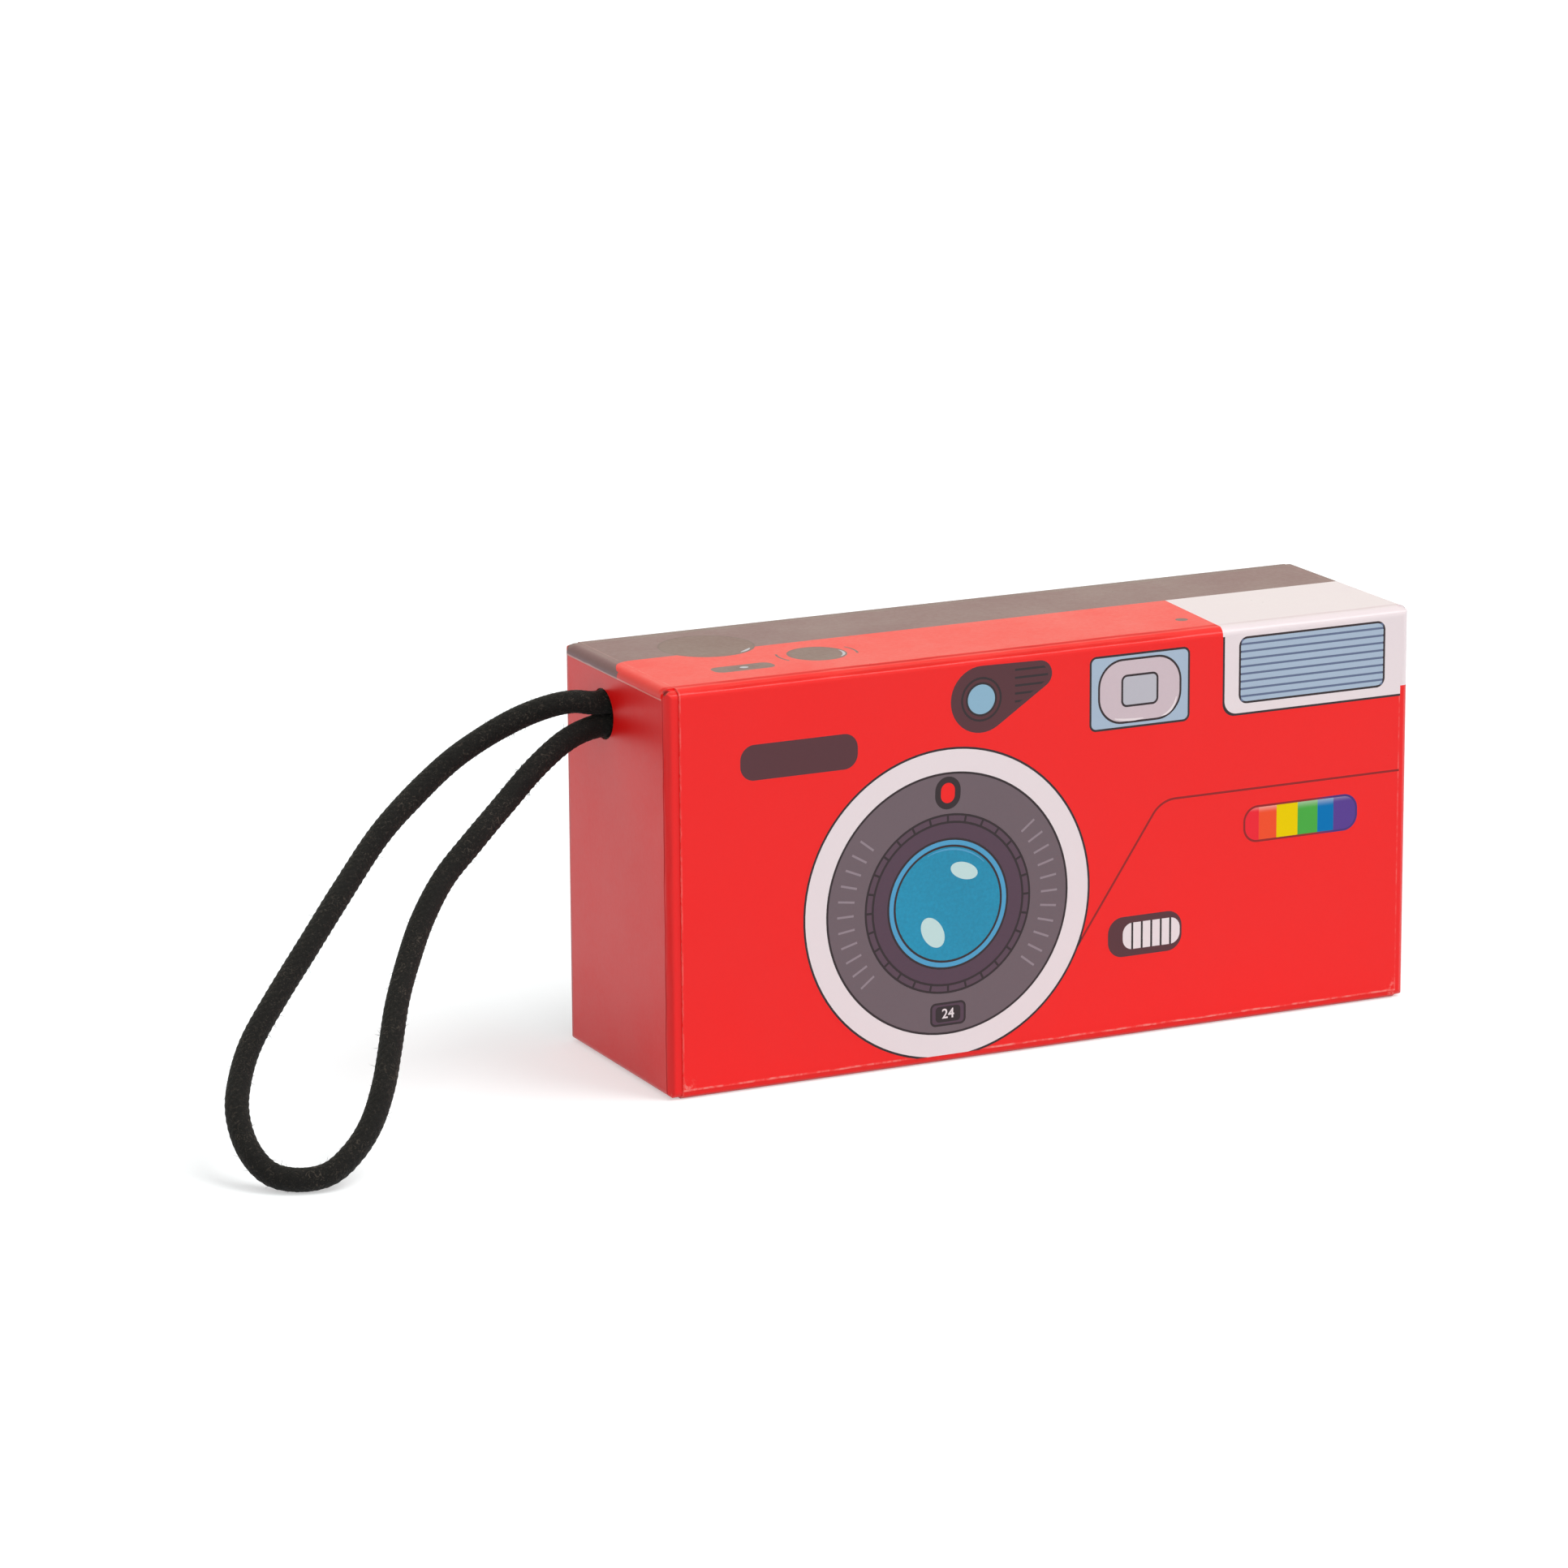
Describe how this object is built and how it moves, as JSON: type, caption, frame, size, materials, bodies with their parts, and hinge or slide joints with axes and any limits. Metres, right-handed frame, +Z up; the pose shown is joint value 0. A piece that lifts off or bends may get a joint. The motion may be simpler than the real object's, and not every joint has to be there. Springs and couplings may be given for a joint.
{
  "type": "toy camera",
  "caption": "Closed paper-covered greyboard box printed as a red compact camera, with a wrist strap of round black cord through one end.",
  "frame": {"origin": "middle of the box's base, on the surface it stands on, leaving the strap out", "axes": "+X to the viewer's right along the width, +Y from the printed front to the back, +Z up"},
  "size_m": [0.2047, 0.0578, 0.0644],
  "materials": {
    "greyboard": "rough uncoated greyboard",
    "stay_paper": "plain kraft tape",
    "end_paper": "plain dyed paper, matt",
    "red_print": "offset print on matt-laminated paper",
    "cord": "round braided cord, matt",
    "plum_print": "offset print on matt-laminated paper",
    "white_print": "offset print on matt-laminated paper",
    "window_print": "offset print on matt-laminated paper",
    "mauve_print": "offset print on matt-laminated paper",
    "eye_print": "offset print on matt-laminated paper",
    "glint_print": "offset print on matt-laminated paper",
    "pale_blue_print": "offset print on matt-laminated paper",
    "rim_print": "offset print on matt-laminated paper",
    "throat_print": "offset print on matt-laminated paper",
    "control_print": "offset print on matt-laminated paper",
    "blue_print": "offset print on matt-laminated paper",
    "dark_print": "offset print on matt-laminated paper",
    "grey_print": "offset print on matt-laminated paper",
    "grip_print": "offset print on matt-laminated paper",
    "scale_print": "offset print on matt-laminated paper",
    "stripe_red": "offset print on matt-laminated paper",
    "stripe_orange": "offset print on matt-laminated paper",
    "stripe_yellow": "offset print on matt-laminated paper",
    "stripe_green": "offset print on matt-laminated paper",
    "stripe_blue": "offset print on matt-laminated paper",
    "stripe_violet": "offset print on matt-laminated paper",
    "line_print": "offset print on matt-laminated paper"
  },
  "bodies": {
    "root": {"front_board": "greyboard", "back_board": "greyboard", "top_board": "greyboard", "bottom_board": "greyboard", "left_end_board": "greyboard", "right_end_board": "greyboard", "stay_front_top": "stay_paper", "stay_front_bottom": "stay_paper", "stay_back_top": "stay_paper", "stay_back_bottom": "stay_paper", "left_end_paper": "end_paper", "right_end_paper": "end_paper", "printed_sheet": "red_print", "strap_cord": "cord", "strap_knot": "cord", "print_back_cover": "plum_print", "print_flash_housing": "white_print", "print_flash_window": "window_print", "print_side_flash": "white_print", "print_finder_frame": "window_print", "print_finder_sight": "mauve_print", "print_finder_eye": "eye_print", "print_focus_window": "dark_print", "print_focus_eye": "pale_blue_print", "print_lens_ring": "white_print", "print_lens_barrel": "grey_print", "print_lens_scale": "scale_print", "print_lens_grip": "grip_print", "print_lens_throat": "throat_print", "print_lens_rim": "rim_print", "print_lens_glass": "blue_print", "print_lens_glints": "glint_print", "print_lens_lamp": "red_print", "print_lens_counter": "throat_print", "print_name_plate": "dark_print", "print_stripe_red": "stripe_red", "print_stripe_orange": "stripe_orange", "print_stripe_yellow": "stripe_yellow", "print_stripe_green": "stripe_green", "print_stripe_blue": "stripe_blue", "print_stripe_violet": "stripe_violet", "print_slide_housing": "dark_print", "print_slide_thumb": "white_print", "print_dial": "control_print", "print_shutter": "control_print", "print_film_counter": "control_print", "print_screw_mark": "control_print", "print_eyepiece_frame": "line_print", "print_eyepiece": "window_print", "print_lines": "line_print"}
  },
  "joints": []
}
